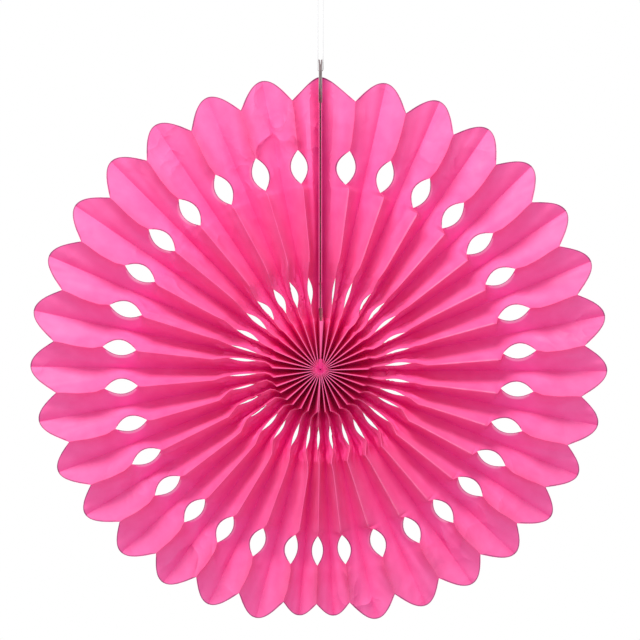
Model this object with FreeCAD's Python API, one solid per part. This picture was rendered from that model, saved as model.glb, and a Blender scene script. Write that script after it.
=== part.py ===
import FreeCAD, Part
import math
import os

# A hanging paper fan, opened into a full circle. One long piece of tissue is pleated front and
# back, die-cut while it is folded flat, and gathered at the hub. Its two ends are glued on two
# greyboard strips, which meet edge to edge at the top and hang from a loop of thread.
# Millimetres. The fan stands in the XZ plane and faces -Y, and the origin is where the thread
# loop bears on its hook.

# Rosette, seen from the front
front_folds = 33
tip_radius = 205.0
cusp_radius = 188.5
hub_radius = 6.0
hub_hole_diameter = 1.2
fold_pitch = 11.07          # degrees between front folds
bottom_closing = 3.0        # degrees by which the two lowest leaves hang closer together
side_sag = 1.1              # degrees by which the upper and side leaves turn down
sag_end = 130.0             # degrees from the top where that turn has faded out
sag_fade = 25.0
bottom_shortening = 0.13    # share by which the lowest leaves hang shorter than the top ones
side_stretch = 1.8          # the side leaves reach out further
left_stretch = 0.8          # the left ones more than the right ones

# Rosette, front to back
hub_depth = 24.0
rim_depth = 13.5
tissue_thickness = 0.3

# Front edge of a leaf, from the hub outwards
disc_radius = 33.5          # the central disc of sharp pleats ends here
recess_radius = 38.0        # the front edge has stepped back here
recess_drop = 7.0
slit_start = 44.5
slit_length = 19.5
slit_cut = 0.33             # share of the leaf's width
flap_start = 75.0           # the front edge is back at full height
flap_end = 125.0
eye_start = 129.0
eye_length = 24.5
eye_cut = 0.43              # share of the leaf's width
eye_drop = 2.5
bulge_length = 8.0          # the front edge swells forward again past the eye
bulge_drop = 0.6

# End strips and what joins and carries them
board_thickness = 1.0
board_width = 13.0
board_top = 215.5           # above the hub
board_spread = 0.25         # each strip leans out by this at its top end
board_bevel = 0.8
spread_length = 3.5
tape_thickness = 0.2
tape_width = 9.0
tape_margin = 6.0
thread_diameter = 0.6
thread_spacing = 3.7        # between the two strands
thread_hole_diameter = 2.8
thread_hole_inset = 8.0     # below the strips' top
loop_height = 262.0         # top of the thread loop above the hub

# Places that follow from the sizes
hub_z = -loop_height
thread_hole_height = board_top - thread_hole_inset
spread_start = board_top - spread_length
back_y = board_width / 2
front_y = back_y - hub_depth
board_face = tape_thickness / 2 + board_thickness
glued_x = board_face + tissue_thickness / 2
seat_z = math.sqrt(hub_radius**2 - glued_x**2)


def vector(x, y, z):
    return FreeCAD.Vector(x, y, z + hub_z)


def leaf_depth(radius):
    """Front fold to back fold: the leaf has one width, and leans over more towards the rim."""
    lean = (hub_depth**2 - rim_depth**2) * (radius / tip_radius) ** 2
    return math.sqrt(max(hub_depth**2 - lean, 1.0))


class FoldLine:
    """One fold of the tissue. It runs straight out from the hub, at the front or at the back."""

    def __init__(self, inner, outer, at_front, turn=0):
        self.inner = inner
        self.outer = outer
        self.at_front = at_front
        self.turn = turn    # +1 or -1 on the two ends that are glued to a strip

    def place(self, radius):
        share = (radius - hub_radius) / (tip_radius - hub_radius)
        return [a + share * (b - a) for a, b in zip(self.inner, self.outer)]

    def across(self):
        """Unit vector square to the fold in the fan's plane, clockwise."""
        dx = self.outer[0] - self.inner[0]
        dz = self.outer[1] - self.inner[1]
        length = math.hypot(dx, dz)
        return dz / length, -dx / length

    def point(self, radius, y, aside=0.0):
        x, z = self.place(radius)
        ax, az = self.across()
        return x + aside * ax, y, z + aside * az


def shortening(angle):
    """How much shorter the leaf at this angle from the top hangs."""
    return 1 - bottom_shortening * ((1 - math.cos(math.radians(angle))) / 2) ** 2


def sagged(angle):
    """The angle to which the leaf at this angle from the top turns down under its weight."""
    from_top = min(angle, 360 - angle)
    t = min(max((sag_end - from_top) / sag_fade, 0), 1)
    return angle + math.copysign(side_sag, 180 - angle) * t * t * (3 - 2 * t)


def radial_line(angle, hub_angle, at_front):
    angle = sagged(angle)
    a, b = math.radians(angle), math.radians(hub_angle)
    reach = tip_radius * shortening(angle) + side_stretch * math.sin(a) ** 2 - left_stretch * math.sin(a)
    inner = (hub_radius * math.sin(b), hub_radius * math.cos(b))
    outer = (reach * math.sin(a), reach * math.cos(a))
    return FoldLine(inner, outer, at_front)


def fold_lines():
    """All folds in order, clockwise from the strip on the right of the top."""
    middle = (front_folds - 1) / 2
    angles = []
    for i in range(front_folds):
        step = i - middle
        closing = math.copysign(bottom_closing, step) if step else 0.0
        angles.append(180 + fold_pitch * step - closing)
    strip_angle = math.degrees(math.asin(glued_x / hub_radius))
    hub_pitch = (360 - 2 * strip_angle) / (2 * front_folds)
    lines = [FoldLine((glued_x, seat_z), (glued_x, tip_radius), True, 1)]
    lines.append(FoldLine((glued_x, seat_z), (glued_x, tip_radius), False, 1))
    for i, angle in enumerate(angles):
        hub_angle = strip_angle + hub_pitch * (2 * i + 1)
        lines.append(radial_line(angle, hub_angle, True))
        if i + 1 < front_folds:
            between = (angle + angles[i + 1]) / 2
            lines.append(radial_line(between, hub_angle + hub_pitch, False))
    lines.append(FoldLine((-glued_x, seat_z), (-glued_x, tip_radius), False, -1))
    lines.append(FoldLine((-glued_x, seat_z), (-glued_x, tip_radius), True, -1))
    return lines


def lens(start, length, drop, cut, points):
    """Half of a lens cut into the front fold: its two ends and the points between them."""
    rows = []
    for i in range(points + 2):
        x = 2 * i / (points + 1) - 1
        rows.append((start + length * (x + 1) / 2, drop, cut * (1 - x * x)))
    return rows


def leaf_profile():
    """The die-cut front edge: radius, drop behind the full front fold, share cut away."""
    rows = [(hub_radius, 0, 0), (2.5 * hub_radius, 0, 0), (disc_radius, 0, 0)]
    rows.append((recess_radius, recess_drop, 0))
    rows += lens(slit_start, slit_length, recess_drop, slit_cut, 5)
    slit_end = slit_start + slit_length
    for share in (0.4, 0.7, 1.0):
        radius = slit_end + share * (flap_start - slit_end)
        rows.append((radius, recess_drop * (1 + math.cos(math.pi * share)) / 2, 0))
    rows.append((flap_end, 0, 0))
    rows += lens(eye_start, eye_length, eye_drop, eye_cut, 7)
    eye_end = eye_start + eye_length
    rows.append((eye_end + bulge_length, bulge_drop, 0))
    rows.append(((eye_end + bulge_length + cusp_radius) / 2, bulge_drop, 0))
    for share in (0.0, 0.2, 0.4, 0.6, 0.8, 0.93):
        rise = math.sin(math.pi / 2 * share)
        rows.append((cusp_radius + (tip_radius - cusp_radius) * rise, eye_drop, share))
    return rows


def back_radii():
    """Where the back folds are given points: they are straight, so a few will do."""
    slit_end = slit_start + slit_length
    eye_end = eye_start + eye_length
    return [
        hub_radius, 2.5 * hub_radius, disc_radius, slit_end, (slit_end + eye_start) / 2,
        eye_start, eye_end, cusp_radius, tip_radius,
    ]


class Skin:
    """A closed skin of flat triangles over shared points."""

    def __init__(self):
        self.points = []
        self.index = {}
        self.facets = []

    def number(self, point):
        key = tuple(round(c, 6) for c in point)
        if key not in self.index:
            self.index[key] = len(self.points)
            self.points.append(vector(*point))
        return self.index[key]

    def face(self, *corners):
        """A flat or nearly flat face, its corners counter-clockwise from outside."""
        ids = [self.number(c) for c in corners]
        for i in range(1, len(ids) - 1):
            facet = (ids[0], ids[i], ids[i + 1])
            if len(set(facet)) == 3:
                self.facets.append(facet)

    def turned(self, flip, *corners):
        self.face(*(reversed(corners) if flip else corners))

    def between(self, rows, others, flip):
        """Joins two rows of (radius, point), each in order of radius."""
        i = j = 0
        while i + 1 < len(rows) or j + 1 < len(others):
            last = j + 1 == len(others)
            if last or (i + 1 < len(rows) and rows[i + 1][0] <= others[j + 1][0]):
                self.turned(flip, rows[i][1], rows[i + 1][1], others[j][1])
                i += 1
            else:
                self.turned(flip, rows[i][1], others[j + 1][1], others[j][1])
                j += 1

    def solid(self):
        shape = Part.Shape()
        shape.makeShapeFromMesh((self.points, self.facets), 0.001)
        solid = Part.Solid(Part.Shell(shape.Faces))
        if solid.Volume < 0:
            solid.reverse()
        return solid


def half_wall(line, neighbours, radius, drop=0.0):
    """Half of the tissue's thickness, measured square to the fold in the fan's plane."""
    depth = leaf_depth(radius) - drop
    if line.turn:
        return tissue_thickness / 2
    x, z = line.place(radius)
    aside = [math.dist((x, z), n.place(radius)) for n in neighbours]
    run = sum(aside) / len(aside)
    return tissue_thickness / 2 * math.hypot(depth, run) / depth


def web(line, neighbours, radius, drop=0.0):
    """How deep the two walls run into each other behind a fold."""
    x, z = line.place(radius)
    depth = leaf_depth(radius) - drop
    wall = half_wall(line, neighbours, radius, drop)
    aside = [math.dist((x, z), n.place(radius)) for n in neighbours]
    return depth * wall / (sum(aside) / len(aside))


class Leaf:
    """One flat wall of the pleats, between a front fold and the back fold beside it."""

    def __init__(self, lines, front_number, back_number):
        self.front = lines[front_number]
        self.back = lines[back_number]
        self.side = 1 if back_number > front_number else -1
        self.glued = bool(self.front.turn)
        self.front_pair = [lines[front_number - 1]]
        if front_number + 1 < len(lines):
            self.front_pair.append(lines[front_number + 1])
        self.back_pair = [lines[back_number - 1], lines[back_number + 1]]

    def front_rows(self, profile):
        """The wall's front edge: radius, point on its open side, point on its hidden side, free."""
        rows = []
        for radius, drop, cut in profile:
            x, z = self.front.place(radius)
            bx, bz = self.back.place(radius)
            depth = hub_depth if self.glued else leaf_depth(radius)
            y = back_y - (depth - drop) * (1 - cut)
            pair = [self.back] if self.glued else self.front_pair
            wall = half_wall(self.front, pair, radius, drop)
            ax, az = self.front.across()
            px, pz = x + cut * (bx - x), z + cut * (bz - z)
            shift = self.side * wall
            open_side = (px + shift * ax, y, pz + shift * az)
            if cut or self.glued:
                hidden = (px - shift * ax, y, pz - shift * az)
            else:
                hidden = (x, y + web(self.front, self.front_pair, radius, drop), z)
            rows.append((radius, open_side, hidden, bool(cut) or self.glued))
        return rows

    def back_rows(self):
        """The back fold: radius, point in the open valley, corner on the back."""
        rows = []
        for radius in back_radii():
            wall = half_wall(self.back, self.back_pair, radius)
            if self.back.turn:
                loose = self.back_pair[1] if self.back.turn > 0 else self.back_pair[0]
                run = math.dist(self.back.place(radius), loose.place(radius))
                depth = leaf_depth(radius) * 2 * wall / run
                valley = self.back.point(radius, back_y - depth, self.back.turn * wall)
            else:
                depth = web(self.back, self.back_pair, radius)
                valley = self.back.point(radius, back_y - depth)
            corner = self.back.point(radius, back_y, -self.side * wall)
            rows.append((radius, valley, corner))
        return rows

    def build(self, skin, profile):
        """The wall's two sides, its cut edges and its pointed end."""
        flip = self.side < 0
        self.fronts = self.front_rows(profile)
        self.backs = self.back_rows()
        skin.between([(r[0], r[1]) for r in self.fronts], [(r[0], r[1]) for r in self.backs], not flip)
        skin.between([(r[0], r[2]) for r in self.fronts], [(r[0], r[2]) for r in self.backs], flip)
        for here, there in zip(self.fronts, self.fronts[1:]):
            if here[3] or there[3]:
                skin.turned(flip, here[1], here[2], there[2], there[1])
        last, tip = self.fronts[-1], self.backs[-1]
        skin.turned(flip, last[1], last[2], tip[2], tip[1])


def close_front_fold(skin, left, right):
    """The narrow outer face of a front fold, between its two walls, where they are joined."""
    rows = list(zip(left.fronts, right.fronts))
    for (a, b), (c, d) in zip(rows, rows[1:]):
        if not a[3] and not c[3]:
            skin.face(a[1], b[1], d[1], c[1])
        elif not a[3]:
            skin.face(a[1], b[1], b[2])
        elif not c[3]:
            skin.face(c[1], c[2], d[1])


def close_back_fold(skin, left, right):
    """The outer face of a back fold, and the small end face at the petal's tip."""
    rows = list(zip(left.backs, right.backs))
    for (a, b), (c, d) in zip(rows, rows[1:]):
        skin.face(a[2], c[2], d[2], b[2])
    a, b = rows[-1]
    skin.face(a[2], a[1], b[2])


def hub_disc(skin, outline, y, flip):
    """One end face of the hub: from its outline in to the small central hole."""
    count = 12
    radius = hub_hole_diameter / 2
    rim = [(math.atan2(p[0], p[2]) % (2 * math.pi), p) for p in outline]
    rim.append((rim[0][0] + 2 * math.pi, rim[0][1]))
    hole = []
    for i in range(count + 1):
        angle = rim[0][0] + 2 * math.pi * i / count
        hole.append((angle, (radius * math.sin(angle), y, radius * math.cos(angle))))
    skin.between(rim, hole, flip)
    return [p for _, p in hole]


def pleated_fan():
    lines = fold_lines()
    skin = Skin()
    profile = leaf_profile()
    leaves = []
    for i in range(len(lines) - 1):
        pair = (i, i + 1) if lines[i].at_front else (i + 1, i)
        leaf = Leaf(lines, *pair)
        leaf.build(skin, profile)
        leaves.append(leaf)
    for left, right in zip(leaves, leaves[1:]):
        if left.front is right.front:
            close_front_fold(skin, left, right)
        else:
            close_back_fold(skin, left, right)
    close_hub(skin, leaves)
    return skin.solid()


def close_hub(skin, leaves):
    """The gathered inner ends of the pleats: a short core with a hole on the axis."""
    front = [leaves[0].fronts[0][2]]
    back = []
    for left, right in zip(leaves, leaves[1:]):
        if left.front is right.front:
            front += [left.fronts[0][1], right.fronts[0][1]]
            skin.face(left.backs[0][2], left.fronts[0][2], right.backs[0][2])
        else:
            if left is leaves[0]:
                front.append(left.fronts[0][1])
            back += [left.backs[0][2], right.backs[0][2]]
            skin.face(left.fronts[0][1], right.fronts[0][1], left.backs[0][1])
    front += [leaves[-1].fronts[0][1], leaves[-1].fronts[0][2]]
    skin.face(front[0], front[-1], back[-1], back[0])
    front_hole = hub_disc(skin, front, front_y, False)
    back_hole = hub_disc(skin, back, back_y, True)
    for i in range(len(front_hole) - 1):
        skin.face(front_hole[i], front_hole[i + 1], back_hole[i + 1], back_hole[i])


def end_strip(side):
    """A greyboard strip on one side of the seam, spread a little at its top end."""
    near, far = tape_thickness / 2, board_face
    outline = [
        (near, seat_z),
        (far, seat_z),
        (far, spread_start),
        (far + board_spread, board_top),
        (near + board_spread, board_top - board_bevel),
        (near, spread_start),
    ]
    points = [vector(side * x, -board_width / 2, z) for x, z in outline]
    face = Part.Face(Part.makePolygon(points + points[:1]))
    return face.extrude(FreeCAD.Vector(0, board_width, 0)).cut(thread_hole())


def thread_hole():
    """The hole that is punched through both strips and the tape between them."""
    reach = 2 * (board_face + board_spread)
    start = vector(-reach / 2, 0, thread_hole_height)
    return Part.makeCylinder(thread_hole_diameter / 2, reach, start, FreeCAD.Vector(1, 0, 0))


def joining_tape():
    """Double-sided tape that closes the circle between the two strips."""
    foot = seat_z + tape_margin
    corner = vector(-tape_thickness / 2, -tape_width / 2, foot)
    return Part.makeBox(tape_thickness, tape_width, spread_start - foot, corner).cut(thread_hole())


def thread_loop():
    """The loop of thread: through both strips, up their outer faces and round its hook."""
    turn = thread_spacing / 2
    low = thread_hole_height + turn
    high = loop_height + thread_diameter / 2 - turn
    halves = []
    for side in (-1, 1):
        start = vector(0, 0, low - turn)
        corner = vector(side * turn * math.sin(math.pi / 4), 0, low - turn * math.cos(math.pi / 4))
        foot = vector(side * turn, 0, low)
        head = vector(side * turn, 0, high)
        bend = vector(side * turn * math.sin(math.pi / 4), 0, high + turn * math.cos(math.pi / 4))
        end = vector(0, 0, high + turn)
        edges = [
            Part.Arc(start, corner, foot).toShape(),
            Part.LineSegment(foot, head).toShape(),
            Part.Arc(head, bend, end).toShape(),
        ]
        circle = Part.makeCircle(thread_diameter / 2, start, FreeCAD.Vector(1, 0, 0))
        halves.append(Part.Wire(edges).makePipeShell([Part.Wire(circle)], True, True))
    return halves[0].fuse(halves[1]).removeSplitter()


nodes = {
    "pleated_tissue_fan": pleated_fan(),
    "left_end_strip": end_strip(-1),
    "right_end_strip": end_strip(1),
    "joining_tape": joining_tape(),
    "hanging_thread": thread_loop(),
}
os.makedirs("parts", exist_ok=True)
for name, shape in nodes.items():
    shape.exportStep(f"parts/{name}.step")
    print(name, len(shape.Solids), shape.isValid(), round(shape.Volume, 1), len(shape.Faces))
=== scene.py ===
import math

import bmesh
import bpy
import numpy as np
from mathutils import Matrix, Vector


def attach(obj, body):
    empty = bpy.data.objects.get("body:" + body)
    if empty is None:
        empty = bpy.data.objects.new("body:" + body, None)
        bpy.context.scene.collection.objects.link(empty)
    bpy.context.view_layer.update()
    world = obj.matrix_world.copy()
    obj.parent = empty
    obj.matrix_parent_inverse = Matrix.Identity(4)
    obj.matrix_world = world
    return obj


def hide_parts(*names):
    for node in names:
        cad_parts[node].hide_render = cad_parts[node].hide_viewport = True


# A hanging paper fan, opened into a full circle and seen square on. Sizes are in metres, and
# angles in degrees clockwise from the top. The tissue is drawn finer than its solid: its front
# folds droop, its cut edges curl, and its walls are creased and puckered.

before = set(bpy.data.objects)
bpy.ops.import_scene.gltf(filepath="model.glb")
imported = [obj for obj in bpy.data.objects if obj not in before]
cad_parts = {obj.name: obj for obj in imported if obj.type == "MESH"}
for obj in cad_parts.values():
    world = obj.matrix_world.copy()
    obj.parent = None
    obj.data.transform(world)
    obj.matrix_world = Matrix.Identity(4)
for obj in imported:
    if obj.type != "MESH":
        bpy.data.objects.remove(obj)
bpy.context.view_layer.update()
MM = 0.001

# Rosette: the sizes of the solid, or close to them
FRONT_FOLDS = 33
TIP_RADIUS = 205.0 * MM
CUSP_RADIUS = 187.8 * MM
FOLD_PITCH = 11.07
BOTTOM_CLOSING = 3.0            # the two lowest leaves hang closer together
BOTTOM_SHORTENING = 0.13        # the share by which the lowest leaves are shorter
SHORTENING_POWER = 2.6          # how fast that fades towards the sides
HUB_DEPTH = 24.0 * MM
RIM_DEPTH = 13.5 * MM
BOARD_WIDTH = 13.0 * MM
BOARD_FACE = 1.1 * MM           # a strip's outer face, from the seam
LOOP_HEIGHT = 262.0 * MM

# Front edge of a leaf, from the hub outwards
HUB_RADIUS = 2.2 * MM           # finer than the solid's core: the pleats run right in
DISC_RADIUS = 33.5 * MM
RECESS_RADIUS = 36.0 * MM
RECESS_DROP = 7.0 * MM
SLIT_START = 45.5 * MM
SLIT_END = 64.0 * MM
SLIT_CUT = 0.26                 # share of the leaf's width
FLAP_START = 75.0 * MM
FLAP_END = 125.0 * MM
EYE_START = 129.4 * MM
EYE_END = 152.8 * MM
EYE_CUT = 0.42
LOWER_CUT = 0.18                # the share by which an eye is cut less on its lower side
EYE_DROP = 2.5 * MM
BULGE_END = 160.8 * MM
BULGE_DROP = 0.6 * MM
LOWEST_SHARE = 0.62             # how far the two lowest petals reach past their cusps
HALF_PETAL_SHARE = 0.93         # the same for the half petals beside the strips
TENT = 0.6                      # how straight the ends of those are cut
CREST_WIDTHS = {"line": 0.05 * MM, "disc": 0.20 * MM, "recess": 0.12 * MM, "flap": 0.12 * MM}

# The slits gape at the upper left and are pressed nearly shut elsewhere:
# the middle and the reach of each such place, and what it adds to the opening
SLIT_CHANGES = (
    (332, 28, 0.80), (289, 8, -0.50), (242, 36, -0.40), (124, 15, -0.45),
    (80, 45, -0.30), (265, 24, -0.45), (8, 15, -0.60),
)

# How the folds hang
WHOLE_TURN = 0.45               # the rosette has turned on its strips
BOTTOM_TURN = 0.5               # and a little more at the bottom
UPPER_LEFT_TURN = 0.6           # and at the upper left
SIDE_SAG = 1.1                  # the upper leaves turn down
SAG_FADE = (105, 130)           # from here to here that fades
SIDE_STRETCH = 1.0 * MM
LEFT_STRETCH = 1.0 * MM
LOW_EYES = 3.7 * MM             # the lowest eyes lie further out in their shorter leaves

# How the front edges droop, towards the ground at each side
DISC_DROOP = 2.0 * MM
DISC_DROOP_END = 37.0 * MM
FLAP_DROOP = 4.0 * MM
FLAP_DROOP_START = 67.0 * MM
LEFT_FLAP = 0.15                # the flaps hang this much less on the left
RIM_DROOP = 1.7 * MM
RIM_DROOP_FADE = 168.0 * MM

# How they are pushed aside, clockwise
SLIT_SHIFT = 2.8 * MM
SIDE_SHIFT = 1.2 * MM
SHIFT_SPREAD = 0.8 * MM         # random, for each leaf
SHIFT_FULL = 38.0 * MM
SHIFT_FADE = 66.0 * MM
BOTTOM_LEAN = 1.2 * MM
TOP_LEAN = 1.2 * MM
LEAN_SPREAD = 0.5 * MM          # random, for each leaf
LEAN_START = (65.0 * MM, 85.0 * MM)
LEAN_FADE = 175.0 * MM
EYE_HOLD = 0.7                  # the eyes and the petals lean less by these shares
EYE_HOLD_FADE = (153.0 * MM, 160.0 * MM)
PETAL_HOLD = 0.6
PETAL_HOLD_START = (150.0 * MM, 160.0 * MM)
DISC_LEAN_FADE = 39.0 * MM

# Surface of the tissue
EDGE_CURL = 0.5 * MM
CURL_WIDTH = 0.9 * MM
CURL_FULL = 0.12                # the share cut away from which an edge curls fully
STREAK = 0.30 / 2.6 * MM        # height of each wave
PUCKER = 0.10 * MM
LOOSE_START = (30.0 * MM, 100.0 * MM)
CRUMPLE = 0.85 / 2.4 * MM       # between the slits, where the tissue is pressed and pulled about
CRUMPLE_START = (35.0 * MM, 42.0 * MM)
CRUMPLE_END = (68.0 * MM, 84.0 * MM)
WALL_COLUMNS = 12
TIP_ROWS = 14
CRISP_FOLD = 25
SAME_POINT = 1e-6

# Marks for its colour: painted shade along the cut edges and deep in the folds, painted highlights
EDGE_SHADE = (1.1 * MM, 2.1 * MM)        # how wide the painted shade along the cut edges runs
LIP_START = (0.5 * MM, 1.2 * MM)        # a painted highlight on the lip under each eye, measured from its edge
LIP_END = (3.0 * MM, 4.2 * MM)
LIP_CUT = 0.1                           # only where more than this share is cut away
RIDGE_HIGHLIGHT = 0.45                       # painted highlight along the flaps' ridges on the right
RIDGE_FULL = 90.0 * MM
RIDGE_WIDTH = (0.3 * MM, 1.0 * MM)
PETAL_SHEEN = 0.10                         # painted sheen on the petals
PETAL_SHEEN_START = (120.0 * MM, 190.0 * MM)
SHADE_LESS_PAST_DISC = 0.65                     # how much less painted fold shade the slits and the flaps get
SHADE_LESS_AT_FLAPS = 0.35
SHADE_LESS_AT_FLAPS_START = (60.0 * MM, 90.0 * MM)

# Tissue beside the strips
STRIP_PULL = 3.5 * MM                   # its leaves are pulled forward
STRIP_PULL_START = (50.0 * MM, 100.0 * MM)
DISC_CRESTS = {1: 2.1 * MM, -1: -0.5 * MM}
STRIP_LIP = 1.15 * MM
STRIP_LIP_START = 42.0 * MM
STRIP_LEAN = 0.42                       # the share of the wall that leans to the lip
STRIP_RECESS_END = 60.0 * MM

# Core: its rings' radii and how far the folds dip on each, in millimetres
CORE_RINGS = (
    (0.45, 0.10), (2.2, 0.10), (3.2, 0.20), (4.2, 0.50), (5.2, 1.30), (6.2, 3.00), (7.2, 6.00),
)
CORE_FLOOR = 1.35 * MM

# Thread
THREAD_DIAMETER = 0.6 * MM
THREAD_SPACING = 3.7 * MM
THREAD_HOLE_HEIGHT = 207.5 * MM
THREAD_BEND = 6 * THREAD_DIAMETER

# Colours
TISSUE_TONES = ((0.90, 0.118, 0.343), (0.93, 0.160, 0.398))
# painted shade along the cut edges
TISSUE_EDGE_SHADE = (0.33, 0.055, 0.16)
# painted highlight
TISSUE_HIGHLIGHT = (0.95, 0.44, 0.56)
# painted shade deep in the folds: first a redder tint, then the darkest
TISSUE_SHADE_TINT = (1.0, 0.22, 0.73)
TISSUE_DEEPEST_SHADE = (0.63, 0.16, 0.27)
LIGHT_THROUGH = (0.95, 0.10, 0.95)
BOARD_TONES = ((0.10, 0.075, 0.078), (0.25, 0.195, 0.200))
# painted pink bounce light from the tissue, on the strips towards the hub
BOARD_PINK_BOUNCE = (0.36, 0.07, 0.12)
TAPE_TONES = ((0.62, 0.56, 0.46), (0.86, 0.82, 0.72))
THREAD_TONES = ((0.50, 0.50, 0.51), (0.76, 0.76, 0.77))
FLOOR_TONES = ((0.86, 0.86, 0.86), (0.90, 0.90, 0.90))
WHITE = (1.0, 1.0, 1.0)

# Studio: each lamp's place from the hub, width, height and watts
LAMPS = {
    "top_lamp": ((-0.35, -0.85, 1.25), 0.8, 0.5, 27),
    "front_fill": ((0.0, -2.2, 0.2), 1.2, 1.2, 11),
}
SKY_STRENGTH = 0.57
FLOOR_BELOW = 1.5
FLOOR_REACH = 6.0

# The photograph's view: its frame at the fan's distance, and the hub's place in it
VIEW_WIDTH = 446.0 * MM
VIEW_DISTANCE = 2.2
HUB_ACROSS = 0.4 / 640
HUB_BELOW = 49.0 / 640
SENSOR_WIDTH = 36

BACK_Y = BOARD_WIDTH / 2
FRONT_Y = BACK_Y - HUB_DEPTH
GLUED_X = BOARD_FACE + 0.08 * MM
HUB_Z = -LOOP_HEIGHT
rng = np.random.default_rng(33)


def ramp(value, low, high):
    """0 below low, 1 above high and a straight step between."""
    return np.clip((value - low) / (high - low), 0, 1)


def smooth(value, low, high):
    """0 below low, 1 above high and a soft step between."""
    t = ramp(value, low, high)
    return t * t * (3 - 2 * t)


def lens(radius, start, end):
    """1 in the middle of a lens-shaped cut and 0 at its ends and outside."""
    x = 2 * (radius - start) / (end - start) - 1
    return np.clip(1 - x * x, 0, 1)


def near(angle, middle, reach):
    """1 at an angle round the circle and 0 beyond a reach on both sides of it."""
    away = abs((angle - middle + 180) % 360 - 180) / reach
    return max(0.0, 1 - away * away)


def polar(radius, angle):
    """A point at an angle in radians, clockwise from the top."""
    return np.array((radius * math.sin(angle), radius * math.cos(angle)))


def leaf_depth(radius):
    """From the back fold to the full front fold."""
    lean = (HUB_DEPTH**2 - RIM_DEPTH**2) * (radius / TIP_RADIUS) ** 2
    return np.sqrt(HUB_DEPTH**2 - lean)


def edge_drop(radius):
    """How far the front edge stands behind the full front fold."""
    recess = ramp(radius, DISC_RADIUS, RECESS_RADIUS) - ramp(radius, SLIT_END, FLAP_START)
    step = smooth(radius, FLAP_END, EYE_START)
    bulge = smooth(radius, EYE_END, BULGE_END)
    fall = smooth(radius, 0.5 * (CUSP_RADIUS + EYE_END), CUSP_RADIUS)
    outer = EYE_DROP * (step - bulge) + BULGE_DROP * bulge + (EYE_DROP - BULGE_DROP) * fall
    return RECESS_DROP * recess + outer


def slit_opening(angle):
    """The share of the leaf's width that this fold's slit is cut in."""
    opening = SLIT_CUT
    for middle, reach, change in SLIT_CHANGES:
        opening *= 1 + change * near(angle, middle, reach)
    return opening * rng.uniform(0.85, 1.1)


def droop(radius):
    """How far the disc, the flaps and the rim hang down where their edge runs level."""
    disc = radius / DISC_RADIUS * (1 - ramp(radius, DISC_RADIUS, DISC_DROOP_END))
    flap = ramp(radius, FLAP_DROOP_START, FLAP_START)
    flap = flap * (1 - ramp(radius, (FLAP_END + EYE_START) / 2, EYE_START))
    flap = flap * (0.8 + 0.2 * ramp(radius, FLAP_START, FLAP_END))
    rim = smooth(radius, EYE_END, BULGE_END) * (1 - smooth(radius, RIM_DROOP_FADE, CUSP_RADIUS))
    return DISC_DROOP * disc, FLAP_DROOP * flap, RIM_DROOP * rim


def crest(radius):
    """Half the width of a front fold's flattened crest."""
    disc = smooth(radius, 3 * MM, 7 * MM) * (1 - smooth(radius, DISC_RADIUS, RECESS_RADIUS))
    recess = ramp(radius, DISC_RADIUS, RECESS_RADIUS)
    recess = recess * (1 - ramp(radius, SLIT_START - 1 * MM, SLIT_START))
    flap = smooth(radius, SLIT_END, FLAP_START) * (1 - smooth(radius, FLAP_END, EYE_START))
    parts = {"line": 1.0, "disc": disc, "recess": recess, "flap": flap}
    return sum(CREST_WIDTHS[name] * part for name, part in parts.items())


def arch(share, radius):
    """How far back a wall has come at a share of its width.

    It is steepest beside its front fold, and more so from the eyes outwards.
    """
    steep = 0.15 + 0.85 * smooth(radius, FLAP_END, EYE_END)
    bend = share * (1 - share) ** 2 - 0.3 * share**2 * (1 - share)
    return share + steep[:, None] * bend


def strip_edge(radius, side):
    """Where the tissue glued to a strip ends in front: a lip along it, one crest in the disc."""
    disc = DISC_CRESTS[side] * radius / DISC_RADIUS
    t = smooth(radius, DISC_RADIUS, STRIP_LIP_START)
    return disc * (1 - t) + side * STRIP_LIP * t


def end_share(radius, tent=0.0):
    """The share of the leaf's width that its rounded end has cut away at this radius."""
    rise = ramp(radius, CUSP_RADIUS, TIP_RADIUS)
    return (1 - tent) * np.arcsin(rise) / (math.pi / 2) + tent * rise


def cut_share(front, radii, tent=0.0):
    """The share of the leaf's width that the slit, the eye and the rounded end cut away."""
    if front.glued:
        return end_share(radii)
    slit = front.slit * lens(radii, SLIT_START, SLIT_END) ** 1.3
    return np.maximum(slit + EYE_CUT * lens(radii, EYE_START, EYE_END), end_share(radii, tent))


def stations():
    """Radii at which each wall gets points: close together where the front edge is shaped."""
    spans = (
        (HUB_RADIUS, 10), (DISC_RADIUS, 4), (RECESS_RADIUS, 3), (SLIT_START, 14), (SLIT_END, 6),
        (FLAP_START, 14), (FLAP_END, 4), (EYE_START, 20), (EYE_END, 5), (BULGE_END, 8),
    )
    ends = [start for start, _ in spans[1:]] + [CUSP_RADIUS]
    radii = [
        np.linspace(start, end, count, endpoint=False)
        for (start, count), end in zip(spans, ends)
    ]
    turn = np.linspace(0, 0.985, TIP_ROWS)
    radii.append(CUSP_RADIUS + (TIP_RADIUS - CUSP_RADIUS) * np.sin(turn * math.pi / 2))
    return np.concatenate(radii)


def hung(angle):
    """The angle of a fold once the fan hangs: the upper leaves sag and the whole has turned."""
    from_top = min(angle, 360 - angle)
    if angle != 180:
        angle += math.copysign(SIDE_SAG, 180 - angle) * (1 - smooth(from_top, *SAG_FADE))
    turn = WHOLE_TURN + BOTTOM_TURN * near(angle, 180, 40)
    if angle > 180:
        turn += UPPER_LEFT_TURN * near(angle, 350, 25)
    return angle + turn


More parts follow.
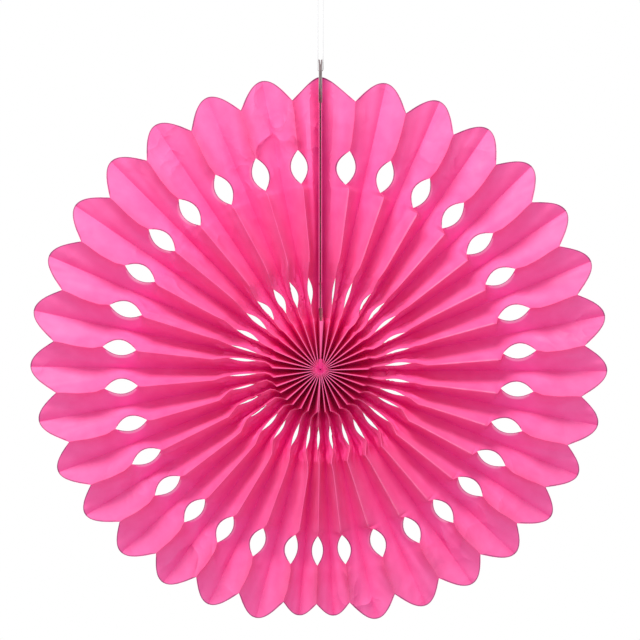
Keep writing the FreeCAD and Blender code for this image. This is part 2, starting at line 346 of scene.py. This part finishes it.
class Fold:
    """A front or back fold: a straight line out from the hub, at its place in the circle."""

    def __init__(self, angle, hub_angle, at_front, glued=0):
        self.angle = angle
        self.at_front = at_front
        self.glued = glued
        if not glued:
            angle = hung(angle)
        turn = math.radians(angle)
        right = math.sin(turn)
        if glued:
            self.inner = np.array((glued * GLUED_X, HUB_RADIUS))
            self.outer = np.array((glued * GLUED_X, TIP_RADIUS))
        else:
            short = 1 - BOTTOM_SHORTENING * ((1 - math.cos(turn)) / 2) ** SHORTENING_POWER
            stretch = SIDE_STRETCH * right**2 - LEFT_STRETCH * right
            self.inner = polar(HUB_RADIUS, math.radians(hub_angle))
            self.outer = polar(TIP_RADIUS * short + stretch, turn)
        along = self.outer - self.inner
        along /= np.hypot(*along)
        self.across = np.array((along[1], -along[0]))
        self.slit = slit_opening(angle)
        # 1 where down is clockwise, at the right, and -1 at the left, with a quick change between
        self.down = 1.2 * right / (abs(right) + 0.2)
        self.flap = self.down * (1 if self.down > 0 else LEFT_FLAP)
        self.lean = TOP_LEAN * near(angle, 5, 50) - BOTTOM_LEAN * max(0.0, -math.cos(turn)) ** 3
        self.out = 0.0 if glued else LOW_EYES * near(angle, 180, 72)
        self.own = rng.normal(0, LEAN_SPREAD)
        self.shift = SLIT_SHIFT * math.sin(2 * turn) + SIDE_SHIFT * right**2
        self.shift += rng.normal(0, SHIFT_SPREAD)
        self.rows = {}

    def place(self, radius):
        """Points along the fold, with the lowest leaves' eyes moved outwards."""
        eyes = smooth(radius, FLAP_START, FLAP_END) * (1 - smooth(radius, EYE_END, CUSP_RADIUS))
        share = (radius + self.out * eyes - HUB_RADIUS) / (TIP_RADIUS - HUB_RADIUS)
        return self.inner + share[:, None] * (self.outer - self.inner)

    def swing(self, radius):
        """How far the front edge stands off its straight line, clockwise."""
        if self.glued:
            return np.zeros_like(radius)
        disc, flap, rim = droop(radius)
        hanging = disc * self.down + flap * self.flap + rim * self.down * abs(self.down)
        slit = ramp(radius, DISC_RADIUS, SHIFT_FULL) * (1 - ramp(radius, SHIFT_FADE, FLAP_START))
        free = smooth(radius, *LEAN_START) * (1 - smooth(radius, LEAN_FADE, CUSP_RADIUS))
        eye = smooth(radius, FLAP_END, EYE_START) * (1 - smooth(radius, *EYE_HOLD_FADE))
        petal = smooth(radius, *PETAL_HOLD_START)
        leaning = (self.lean + self.own) * free * (1 - EYE_HOLD * eye)
        leaning = leaning * (1 - PETAL_HOLD * petal)
        disc_end = 1 - smooth(radius, DISC_RADIUS, DISC_LEAN_FADE)
        inside = ramp(radius, 0, DISC_RADIUS) * disc_end
        return hanging + self.shift * slit + leaning + self.own * inside


def folds():
    """All folds in order, clockwise from the strip on the right of the top."""
    middle = (FRONT_FOLDS - 1) / 2
    angles = []
    for i in range(FRONT_FOLDS):
        step = i - middle
        closing = math.copysign(BOTTOM_CLOSING, step) if step else 0.0
        angles.append(180 + FOLD_PITCH * step - closing)
    strip_angle = math.degrees(math.asin(GLUED_X / HUB_RADIUS))
    hub_pitch = (360 - 2 * strip_angle) / (2 * FRONT_FOLDS)
    lines = [Fold(0, 0, True, 1), Fold(0, 0, False, 1)]
    for i, angle in enumerate(angles):
        hub_angle = strip_angle + hub_pitch * (2 * i + 1)
        lines.append(Fold(angle, hub_angle, True))
        if i + 1 < FRONT_FOLDS:
            lines.append(Fold((angle + angles[i + 1]) / 2, hub_angle + hub_pitch, False))
    lines += [Fold(360, 360, False, -1), Fold(360, 360, True, -1)]
    return lines


def streaks(count, radii, s, closer=1.0, narrower=1.0):
    """Soft random waves over a wall: long outwards, short across."""
    outwards = 2 * math.pi / rng.uniform(45 * MM, 110 * MM, count) * closer
    across = 2 * math.pi / rng.uniform(0.35, 1.1, count) * narrower
    phase = rng.uniform(0, 2 * math.pi, count)
    return np.sin(radii[:, None, None] * outwards + s[:, :, None] * across + phase).sum(axis=2)


def pucker_field(count, shortest, longest):
    """Soft random waves through space, as (wave vectors, phases, weights)."""
    lengths = rng.uniform(shortest, longest, count)
    way = rng.normal(size=(count, 3))
    way /= np.linalg.norm(way, axis=1)[:, None]
    ways = way * (2 * math.pi / lengths)[:, None]
    return ways, rng.uniform(0, 2 * math.pi, count), lengths / longest


def sample_waves(field, points):
    """The height of a field of waves at each point."""
    ways, phases, weights = field
    return (np.sin(points @ ways.T + phases) * weights).sum(axis=1) / math.sqrt(len(weights))


def glued_wall(front, radii, s):
    """The tissue on a strip: flat on its face, with a lip that leans to the front."""
    lean_in = np.clip(1 - s / STRIP_LEAN, 0, 1) ** 1.3
    face = front.glued * GLUED_X
    x = face + (strip_edge(radii, front.glued) - face)[:, None] * lean_in
    drop = edge_drop(radii) * (radii < STRIP_RECESS_END)
    y = BACK_Y - (HUB_DEPTH - drop)[:, None] * (1 - s)
    z = np.repeat(front.place(radii)[:, 1:], s.shape[1], axis=1) + HUB_Z
    return np.stack([x, y, z], axis=2), np.full_like(radii, HUB_DEPTH)


def free_wall(front, back, side, radii, s):
    """A leaf's wall from its front fold, which swings aside, to its back fold."""
    start = front.place(radii) + front.across * (side * crest(radii))[:, None]
    across = back.place(radii) - start
    flat = start[:, None, :] + s[:, :, None] * across[:, None, :]
    fade = (1 - s) ** (1.1 + 1.4 * smooth(radii, FLAP_END, EYE_START))[:, None]
    flat = flat + front.across * (front.swing(radii)[:, None] * fade)[:, :, None]
    depth = leaf_depth(radii)
    y = BACK_Y - (depth - edge_drop(radii))[:, None] * (1 - arch(s, radii))
    if back.glued:
        pull = np.clip(1 - np.abs(s - 0.7) / 0.3, 0, 1)
        y = y - STRIP_PULL * pull * smooth(radii, *STRIP_PULL_START)[:, None]
    width = np.hypot(depth, np.linalg.norm(across, axis=1))
    return np.stack([flat[:, :, 0], y, flat[:, :, 1] + HUB_Z], axis=2), width


def colour_marks(front, below, radii, s, cut, width, to_edge, to_end):
    """Marks for the tissue's colour: distance to an edge, painted highlights on lips and ridges,
    painted fold shade.
    """
    at_eye = below * (radii > FLAP_END)[:, None]
    # painted highlight on the lower lip of each eye, on the walls below it, where the edge catches
    # the light
    lip_highlight = at_eye * smooth(to_edge, *LIP_START) * (1 - smooth(to_edge, *LIP_END))
    lip_highlight = lip_highlight * ((cut > LIP_CUT) & (radii < EYE_END))[:, None]
    # painted highlight along the flaps' ridges on the right
    ridge_highlight = max(0.0, front.down) * ramp(radii, FLAP_START, RIDGE_FULL) * (radii <= FLAP_END)
    ridge_highlight = RIDGE_HIGHLIGHT * ridge_highlight[:, None] * (1 - smooth(s * width[:, None], *RIDGE_WIDTH))
    # painted sheen over the petals, paler towards their ends
    petal_sheen = PETAL_SHEEN * smooth(radii, *PETAL_SHEEN_START)[:, None]
    highlight = np.maximum(np.maximum(lip_highlight, ridge_highlight), petal_sheen)
    # the painted edge shade is drawn thinner at the slits, under the eyes and at the petals' ends
    thinner = np.where(radii < FLAP_START, 1.6, 1.0)[:, None] * (1 + 0.6 * at_eye)
    to_edge = np.minimum(to_edge * thinner, 1.9 * to_end)
    # painted shade: darker towards each wall's back fold, less past the disc and at the flaps, more
    # at the bottom
    valley_shade = 1 - SHADE_LESS_PAST_DISC * smooth(radii, DISC_RADIUS - 3 * MM, SLIT_START)
    valley_shade = valley_shade - SHADE_LESS_AT_FLAPS * smooth(radii, *SHADE_LESS_AT_FLAPS_START)
    shaded = 0.7 - 0.3 * math.cos(math.radians(front.angle))
    return np.stack([to_edge, highlight, s**0.7 * valley_shade[:, None] * shaded], axis=2)


def crease(points, front, radii, s, share, puckers):
    """Gives a wall its streaks and puckers, and crumples it between the slits."""
    wave = streaks(7, radii, s)
    bumps = sample_waves(puckers, points.reshape(-1, 3)).reshape(s.shape)
    loose = np.sin(math.pi * s) ** 0.7 * smooth(radii, *LOOSE_START)[:, None]
    points[:, :, 1] += (wave * STREAK + bumps * PUCKER) * loose
    between = smooth(radii, *CRUMPLE_START) * (1 - smooth(radii, *CRUMPLE_END))
    wave = streaks(6, radii, s, 2.5, 2.4) * CRUMPLE * between[:, None] * np.sin(math.pi * share)
    points[:, :, 0] += front.across[0] * wave
    points[:, :, 2] += front.across[1] * wave


def wall(front, back, side, radii, puckers):
    """One wall of the pleats as a grid of points, each with its marks for the tissue's colour."""
    tent = TENT if back.glued else 0.0
    cut = cut_share(front, radii, tent)
    below = max(0.0, side * math.sin(math.radians(front.angle)))
    cut = cut * (1 - LOWER_CUT * below * ((radii > FLAP_END) & (radii < EYE_END)))
    beyond = 1.0
    if abs(back.angle - 180) < FOLD_PITCH / 2:
        beyond = LOWEST_SHARE
    elif back.glued:
        beyond = HALF_PETAL_SHARE
    radii = np.minimum(radii, CUSP_RADIUS) + beyond * np.maximum(radii - CUSP_RADIUS, 0)
    share = np.linspace(0, 1, WALL_COLUMNS + 1) ** 1.5
    s = cut[:, None] + (1 - cut[:, None]) * share[None, :]
    if front.glued:
        points, width = glued_wall(front, radii, s)
    else:
        points, width = free_wall(front, back, side, radii, s)
    is_cut = (cut > 0) | bool(front.glued)
    to_edge = np.where(is_cut[:, None], (s - cut[:, None]) * width[:, None], 1.0)
    curls = (ramp(cut, 0, CURL_FULL) * (radii < CUSP_RADIUS))[:, None]
    points[:, :, 1] += EDGE_CURL * np.exp(-((to_edge / CURL_WIDTH) ** 2)) * curls
    rise = (1 - tent) * np.sin(math.pi / 2 * s) + tent * s
    to_end = CUSP_RADIUS + beyond * (TIP_RADIUS - CUSP_RADIUS) * rise - radii[:, None]
    marks = colour_marks(front, below, radii, s, cut, width, to_edge, to_end)
    if not (front.glued or back.glued):
        crease(points, front, radii, s, share, puckers)
    return points, marks


class Sheet:
    """Gathers the mesh of the tissue. Each point has marks: to the edge, painted highlight and
    painted shade.
    """

    # marks: distance to a cut edge, painted highlight, painted fold shade
    MARKS = ("cut_edge", "painted_highlight", "valley_shade")
    PLAIN = (1.0, 0.0, 0.0)
    AT_EDGE = (0.0, 0.0, 0.0)

    def __init__(self):
        self.verts, self.faces, self.marks = [], [], []

    def add_grid(self, points, marks, turned, keep=None):
        rows, columns = points.shape[:2]
        base = len(self.verts)
        self.verts += points.reshape(-1, 3).tolist()
        self.marks += np.broadcast_to(marks, points.shape).reshape(-1, 3).tolist()
        for r in range(rows - 1):
            if keep is not None and not keep[r]:
                continue
            for c in range(columns - 1):
                a = base + r * columns + c
                quad = (a, a + 1, a + columns + 1, a + columns)
                self.faces.append(quad if turned else quad[::-1])
        return base

    def add_tip(self, base, rows, columns, place, turned):
        tip = len(self.verts)
        self.verts.append(place)
        self.marks.append(self.AT_EDGE)
        for c in range(columns - 1):
            a = base + (rows - 1) * columns + c
            self.faces.append((a, a + 1, tip) if turned else (tip, a + 1, a))

    def object(self, name):
        mesh = bpy.data.meshes.new(name)
        mesh.from_pydata(self.verts, [], self.faces)
        for mark, values in zip(self.MARKS, zip(*self.marks)):
            mesh.attributes.new(mark, "FLOAT", "POINT").data.foreach_set("value", values)
        weld(mesh)
        return link(name, mesh)


def link(name, data):
    """A new object in the scene."""
    piece = bpy.data.objects.new(name, data)
    bpy.context.scene.collection.objects.link(piece)
    return piece


def add_crest(sheet, front, radii):
    """The narrow flattened crest that joins the two walls of a front fold, where it isn't cut."""
    left, right = front.rows[-1], front.rows[1]
    middle = (left + right) / 2
    middle[:, 1] -= 0.3 * crest(radii)
    whole = cut_share(front, radii) <= 0
    keep = whole[:-1] & whole[1:]
    sheet.add_grid(np.stack([left, middle, right], axis=1), sheet.PLAIN, True, keep)


def add_core(sheet, lines):
    """The hub, where the pleats' crests run together, from the front and from the back."""
    for front_side in (True, False):
        rows = []
        for ring, dip in np.array(CORE_RINGS) * MM:
            row = []
            inwards = min(1.0, ring / HUB_RADIUS)
            for line in lines:
                place = line.place(np.array([max(ring, HUB_RADIUS)]))[0] * inwards
                depth = 0.0 if line.at_front == front_side else dip
                y = FRONT_Y - 0.1 * MM + depth if front_side else BACK_Y + 0.05 * MM - depth
                row.append((place[0], y, place[1] + HUB_Z))
            rows.append(row + row[:1])
        # the core gets painted fold shade at a little under half strength
        sheet.add_grid(np.array(rows), (1.0, 0.0, 0.45), not front_side)
    middle, floor = [], []
    for turn in np.linspace(0, 2 * math.pi, 13):
        x, z = polar(CORE_FLOOR, turn)
        middle.append((0.0, 0.0, HUB_Z))
        floor.append((x, 0.0, z + HUB_Z))
    sheet.add_grid(np.array([middle, floor]), sheet.PLAIN, True)


def add_strip_tissue(sheet, lines, radii):
    """The tissue over the strips: one crest in the disc and a folded lip along each strip."""
    inside = radii <= DISC_RADIUS
    left, right = lines[-1].rows[-1][inside], lines[0].rows[1][inside]
    middle = (left + right) / 2 - np.array((0, 0.4 * MM, 0))
    sheet.add_grid(np.stack([left, middle, right], axis=1), sheet.PLAIN, True)
    along = (radii > STRIP_LIP_START) & (radii < CUSP_RADIUS)
    for line, side in ((lines[0], 1), (lines[-1], -1)):
        edge = line.rows[side][along]
        over = edge + np.array((-side * 0.2, -0.2, 0)) * MM
        out = edge + np.array((-side * 0.5, -0.15, 0)) * MM
        sheet.add_grid(np.stack([edge, over, out], axis=1), sheet.PLAIN, side < 0)


def tissue_fan():
    """The whole pleated and cut sheet as one mesh."""
    radii = stations()
    puckers = pucker_field(24, 5 * MM, 12 * MM)
    lines = folds()
    sheet = Sheet()
    for line, following in zip(lines, lines[1:]):
        turned = line.at_front
        front, back = (line, following) if turned else (following, line)
        side = 1 if turned else -1
        points, marks = wall(front, back, side, radii, puckers)
        front.rows[side] = points[:, 0]
        base = sheet.add_grid(points, marks, turned)
        last = points[-1, -1]
        tip = last + 0.3 * (last - points[-2, -1])
        sheet.add_tip(base, *points.shape[:2], tip.tolist(), turned)
    for line in lines:
        if line.at_front and not line.glued:
            add_crest(sheet, line, radii)
    add_strip_tissue(sheet, lines, radii)
    add_core(sheet, lines)
    return sheet.object("tissue_rosette")


def weld(mesh):
    """Joins the walls along their folds and keeps those folds crisp."""
    bm = bmesh.new()
    bm.from_mesh(mesh)
    bmesh.ops.remove_doubles(bm, verts=bm.verts, dist=SAME_POINT)
    bmesh.ops.dissolve_degenerate(bm, edges=bm.edges, dist=SAME_POINT)
    for face in bm.faces:
        face.smooth = True
    for edge in bm.edges:
        if len(edge.link_faces) == 2 and edge.calc_face_angle(0) > math.radians(CRISP_FOLD):
            edge.smooth = False
    bm.to_mesh(mesh)
    bm.free()


def feed(tree, node, inputs):
    """Sets each of a node's named inputs, or links it where it is given another's output."""
    for key, value in inputs.items():
        if isinstance(value, bpy.types.NodeSocket):
            tree.links.new(value, node.inputs[key])
        else:
            node.inputs[key].default_value = value
    return node


def add_node(tree, kind, inputs, **settings):
    node = tree.nodes.new("ShaderNode" + kind)
    for key, value in settings.items():
        setattr(node, key, value)
    return feed(tree, node, inputs)


def add_tones(tree, factor, *stops):
    """A colour ramp through stops of a position and a colour, from the first to the last."""
    node = add_node(tree, "ValToRGB", {"Fac": factor})
    elements = node.color_ramp.elements
    for element, (position, colour) in zip(elements, (stops[0], stops[-1])):
        element.position = position
        element.color = (*colour, 1)
    for position, colour in stops[1:-1]:
        elements.new(position).color = (*colour, 1)
    return node.outputs["Color"]


def add_mix(tree, factor, first, second, blend="MIX"):
    inputs = {"Factor": factor, "A": first, "B": second}
    return add_node(tree, "Mix", inputs, data_type="RGBA", blend_type=blend).outputs["Result"]


def add_range(tree, value, low, high, to_low=0.0, to_high=1.0, **settings):
    inputs = {
        "Value": value, "From Min": low, "From Max": high, "To Min": to_low, "To Max": to_high,
    }
    return add_node(tree, "MapRange", inputs, **settings).outputs["Result"]


def add_noise(tree, place, scale, inputs=None, **settings):
    inputs = {"Vector": place, "Scale": scale, **(inputs or {})}
    return add_node(tree, "TexNoise", inputs, **settings).outputs["Fac"]


def add_bump(tree, height, strength, distance, inputs=None):
    inputs = {"Height": height, "Strength": strength, "Distance": distance, **(inputs or {})}
    return add_node(tree, "Bump", inputs).outputs["Normal"]


def add_mark(tree, name):
    return add_node(tree, "Attribute", {}, attribute_name=name).outputs["Fac"]


def new_material(name):
    """A material, its tree, its shader and the coordinates of the object that it is on."""
    material = bpy.data.materials.new(name)
    material.use_nodes = True
    tree = material.node_tree
    place = add_node(tree, "TexCoord", {}).outputs["Object"]
    return material, tree, tree.nodes["Principled BSDF"], place


def tissue_colour(tree, place):
    """Pink with a faint mottle: painted shade at cut edges, painted highlights at lips, painted
    shade deep in folds.
    """
    clouds = add_noise(tree, place, 90, {"Detail": 5})
    tone = add_tones(tree, clouds, (0.3, TISSUE_TONES[0]), (0.7, TISSUE_TONES[1]))
    # painted shade along the cut edges
    rim = add_range(
        tree, add_mark(tree, "cut_edge"), *EDGE_SHADE, 1.0, 0.0, interpolation_type="SMOOTHSTEP",
    )
    edge_shaded = add_mix(tree, rim, tone, (*TISSUE_EDGE_SHADE, 1))
    # painted highlights on the eyes' lips, the flaps' ridges and the petals
    highlighted = add_mix(tree, add_mark(tree, "painted_highlight"), edge_shaded, (*TISSUE_HIGHLIGHT, 1))
    # painted shade deep in the folds, multiplied over the colour
    depth = add_tones(
        tree, add_mark(tree, "valley_shade"), (0.0, WHITE), (0.3, TISSUE_SHADE_TINT), (1.0, TISSUE_DEEPEST_SHADE),
    )
    return add_mix(tree, 1.0, highlighted, depth, "MULTIPLY")


def tissue_normal(tree, place):
    """Fine fibres all over, and in patches on the petals the creases of handling."""
    crinkle = add_noise(
        tree, place, 48, {"Detail": 2, "Offset": 0.9}, noise_type="RIDGED_MULTIFRACTAL",
    )
    patches = add_range(tree, add_noise(tree, place, 16), 0.48, 0.66)
    from_hub = add_node(
        tree, "Mapping", {"Vector": place, "Scale": (5, 5, 5), "Location": (0, 0, -5 * HUB_Z)},
    )
    towards_hub = add_node(
        tree, "TexGradient", {"Vector": from_hub.outputs["Vector"]}, gradient_type="SPHERICAL",
    )
    on_petals = add_range(tree, towards_hub.outputs["Fac"], 0.36, 0.52, patches, 0.0)
    creased = add_node(tree, "Math", {0: crinkle, 1: on_petals}, operation="MULTIPLY")
    folded = add_bump(tree, creased.outputs["Value"], 1.0, 1.7 * MM)
    fibre = add_noise(tree, place, 900, {"Detail": 3})
    return add_bump(tree, fibre, 0.08, 0.2 * MM, {"Normal": folded})


def tissue_material():
    """Smooth pink tissue: light passes through it, its fibres show faintly, and painted shade marks
    its cut edges.
    """
    material, tree, shader, place = new_material("pink_tissue")
    colour = tissue_colour(tree, place)
    feed(tree, shader, {
        "Base Color": colour, "Roughness": 0.5, "Specular IOR Level": 0.25,
        "Normal": tissue_normal(tree, place),
    })
    through = add_mix(tree, 1.0, colour, (*LIGHT_THROUGH, 1), "MULTIPLY")
    glow = add_node(tree, "BsdfTranslucent", {"Color": through})
    both = add_node(
        tree, "MixShader", {"Fac": 0.3, 1: shader.outputs["BSDF"], 2: glow.outputs["BSDF"]},
    )
    feed(tree, tree.nodes["Material Output"], {"Surface": both.outputs["Shader"]})
    return material


def board_material():
    """Grey-brown pulp board, mottled with short fibres, with painted pink bounce light towards the
    hub.
    """
    material, tree, shader, place = new_material("greyboard")
    stretch = add_node(tree, "Mapping", {"Vector": place, "Scale": (1500, 300, 220)})
    pulp = add_noise(tree, stretch.outputs["Vector"], 1, {"Detail": 6})
    tone = add_tones(tree, pulp, (0.3, BOARD_TONES[0]), (0.72, BOARD_TONES[1]))
    height = add_node(tree, "SeparateXYZ", {"Vector": place}).outputs["Z"]
    # painted pink bounce light from the tissue, stronger towards the hub
    pink_bounce = add_range(tree, height, HUB_Z + 195 * MM, HUB_Z + 70 * MM, 0.0, 0.75)
    feed(tree, shader, {
        "Base Color": add_mix(tree, pink_bounce, tone, (*BOARD_PINK_BOUNCE, 1)), "Roughness": 0.9,
        "Normal": add_bump(tree, pulp, 0.5, 0.15 * MM),
    })
    return material


def tape_material():
    """Thin cream tape with a faint tissue grain."""
    material, tree, shader, place = new_material("cream_tape")
    tone = add_tones(tree, add_noise(tree, place, 700), (0, TAPE_TONES[0]), (1, TAPE_TONES[1]))
    feed(tree, shader, {"Base Color": tone, "Roughness": 0.6})
    return material


def thread_material():
    """White thread with the slanted bands of its twisted plies."""
    material, tree, shader, place = new_material("white_thread")
    plies = add_node(
        tree, "TexWave", {"Vector": place, "Scale": 700, "Distortion": 1.5},
        bands_direction="DIAGONAL",
    )
    tone = add_tones(tree, plies.outputs["Fac"], (0, THREAD_TONES[0]), (1, THREAD_TONES[1]))
    feed(tree, shader, {"Base Color": tone, "Roughness": 0.7})
    return material


def floor_material():
    """Matt white paper with a faint tooth, which takes the fan's shadow."""
    material, tree, shader, _ = new_material("white_floor")
    tooth = add_node(tree, "TexNoise", {"Scale": 400}).outputs["Fac"]
    tone = add_tones(tree, tooth, (0, FLOOR_TONES[0]), (1, FLOOR_TONES[1]))
    feed(tree, shader, {"Base Color": tone, "Roughness": 0.9})
    return material


def hanging_thread():
    """The loop of thread, from one strip's hole up round its hook and back into the other's."""
    side = THREAD_SPACING / 2
    low = HUB_Z + THREAD_HOLE_HEIGHT
    top = THREAD_DIAMETER / 2
    up = [(low, -side), (low + THREAD_BEND, -side), (top - THREAD_BEND, -side), (top, -side)]
    down = [(z, side) for z, _ in reversed(up)]
    route = [(x, 0, z) for z, x in [(low, 0), *up, (top, 0), *down, (low, 0)]]
    curve = bpy.data.curves.new("thread_loop", "CURVE")
    curve.dimensions = "3D"
    curve.bevel_depth = THREAD_DIAMETER / 2
    curve.bevel_resolution = 4
    spline = curve.splines.new("NURBS")
    spline.points.add(len(route) - 1)
    for point, place in zip(spline.points, route):
        point.co = (*place, 1)
    spline.order_u = 3
    spline.use_endpoint_u = True
    spline.resolution_u = 12
    return link("thread_loop", curve), route


def add_lamp(name, from_hub, width, height, power):
    hub = Vector((0, 0, HUB_Z))
    light = bpy.data.lights.new(name, "AREA")
    light.shape = "RECTANGLE"
    light.size = width
    light.size_y = height
    light.energy = power
    lamp = link(name, light)
    lamp.location = hub + Vector(from_hub)
    lamp.rotation_euler = (-Vector(from_hub)).to_track_quat("-Z", "Y").to_euler()


def add_floor():
    """A pale floor well below the fan."""
    low, far = HUB_Z - FLOOR_BELOW, FLOOR_REACH
    corners = [(-far, -far, low), (far, -far, low), (far, far, low), (-far, far, low)]
    mesh = bpy.data.meshes.new("floor")
    mesh.from_pydata(corners, [], [(0, 1, 2, 3)])
    mesh.materials.append(floor_material())
    link("floor", mesh)


def add_sky():
    """Even light from all round, which the camera, glossy and transmitted rays see as white."""
    world = bpy.data.worlds.new("studio")
    world.use_nodes = True
    tree = world.node_tree
    light = feed(tree, tree.nodes["Background"], {"Color": (*WHITE, 1), "Strength": SKY_STRENGTH})
    white = add_node(tree, "Background", {"Color": (*WHITE, 1), "Strength": 1.0})
    seen = add_node(tree, "LightPath", {}).outputs
    clear = seen["Is Camera Ray"]
    for ray in ("Is Glossy Ray", "Is Transmission Ray"):
        either = add_node(tree, "Math", {0: clear, 1: seen[ray]}, operation="MAXIMUM")
        clear = either.outputs["Value"]
    both = add_node(
        tree, "MixShader",
        {"Fac": clear, 1: light.outputs["Background"], 2: white.outputs["Background"]},
    )
    feed(tree, tree.nodes["World Output"], {"Surface": both.outputs["Shader"]})
    bpy.context.scene.world = world


def studio():
    bpy.context.scene.view_settings.view_transform = "Standard"
    add_floor()
    add_sky()
    for name, lamp in LAMPS.items():
        add_lamp(name, *lamp)


def camera():
    data = bpy.data.cameras.new("camera")
    data.sensor_width = SENSOR_WIDTH
    data.lens = SENSOR_WIDTH * VIEW_DISTANCE / VIEW_WIDTH
    view = link("camera", data)
    view.location = (-HUB_ACROSS * VIEW_WIDTH, -VIEW_DISTANCE, HUB_Z + HUB_BELOW * VIEW_WIDTH)
    view.rotation_euler = (math.pi / 2, 0, 0)
    bpy.context.scene.camera = view


def dress(piece, material):
    piece.data.materials.clear()
    piece.data.materials.append(material)


def main():
    fan = tissue_fan()
    dress(fan, tissue_material())
    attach(fan, "root")
    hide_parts("pleated_tissue_fan")
    board = board_material()
    dress(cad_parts["left_end_strip"], board)
    dress(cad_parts["right_end_strip"], board)
    dress(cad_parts["joining_tape"], tape_material())
    thread, route = hanging_thread()
    dress(thread, thread_material())
    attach(thread, "root")
    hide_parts("hanging_thread")
    studio()
    camera()


main()
